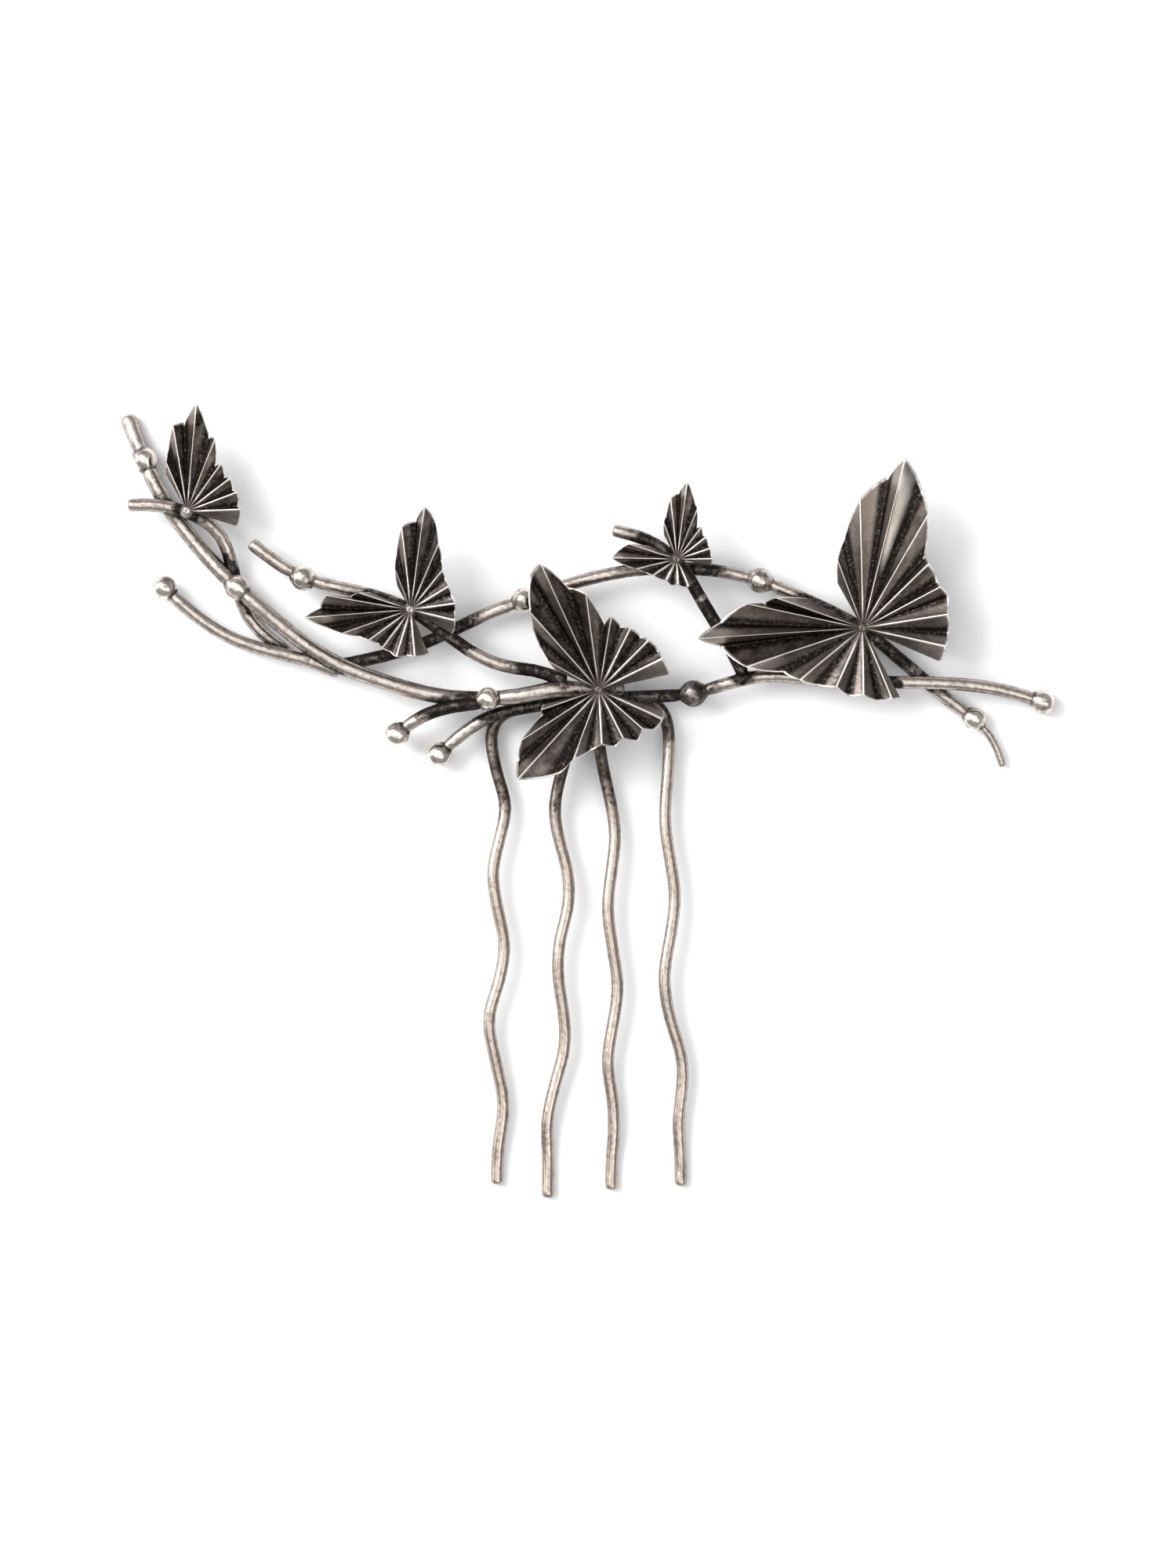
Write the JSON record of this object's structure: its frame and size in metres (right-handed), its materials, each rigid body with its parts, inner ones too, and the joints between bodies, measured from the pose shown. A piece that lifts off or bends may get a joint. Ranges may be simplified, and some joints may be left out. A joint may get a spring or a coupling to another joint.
{
  "type": "decorative hair comb",
  "caption": "Decorative hair comb: a spray of soldered wire twigs with ball beads and pleated butterflies, held on wavy wire tines.",
  "frame": {"origin": "under the middle of the comb's outline, on the flat surface that it lies on, on its back", "axes": "+X along the spray to the right, +Y up the comb away from the tine tips, +Z out of its front"},
  "size_m": [0.112, 0.0952, 0.0116],
  "materials": {
    "stem_wire": "antiqued silver plate, rough cast surface",
    "twig_wire": "antiqued silver plate, darkened at the joints",
    "tine_wire": "warm silver plate, drawn wire",
    "bead": "polished silver plate",
    "pleated_wing": "blackened silver with polished ridges"
  },
  "bodies": {
    "root": {"outer_fork": "tine_wire", "inner_fork": "tine_wire", "main_stem": "stem_wire", "left_twig": "twig_wire", "bead_twig": "twig_wire", "arch_stem": "twig_wire", "tendril": "twig_wire", "left_branch": "twig_wire", "short_twig": "twig_wire", "lower_bar": "twig_wire", "top_twig": "twig_wire", "stem_top_bead": "bead", "crossing_bead": "bead", "left_twig_bead": "bead", "branch_bead": "bead", "short_twig_bead": "bead", "bar_left_bead": "bead", "stem_joint_bead": "bead", "arch_left_bead": "bead", "bar_middle_bead": "bead", "arch_top_bead": "bead", "arch_end_bead": "bead", "bar_right_bead": "bead", "twig_butterfly": "pleated_wing", "branch_butterfly": "pleated_wing", "centre_butterfly": "pleated_wing", "top_butterfly": "pleated_wing", "right_butterfly": "pleated_wing"}
  },
  "joints": []
}
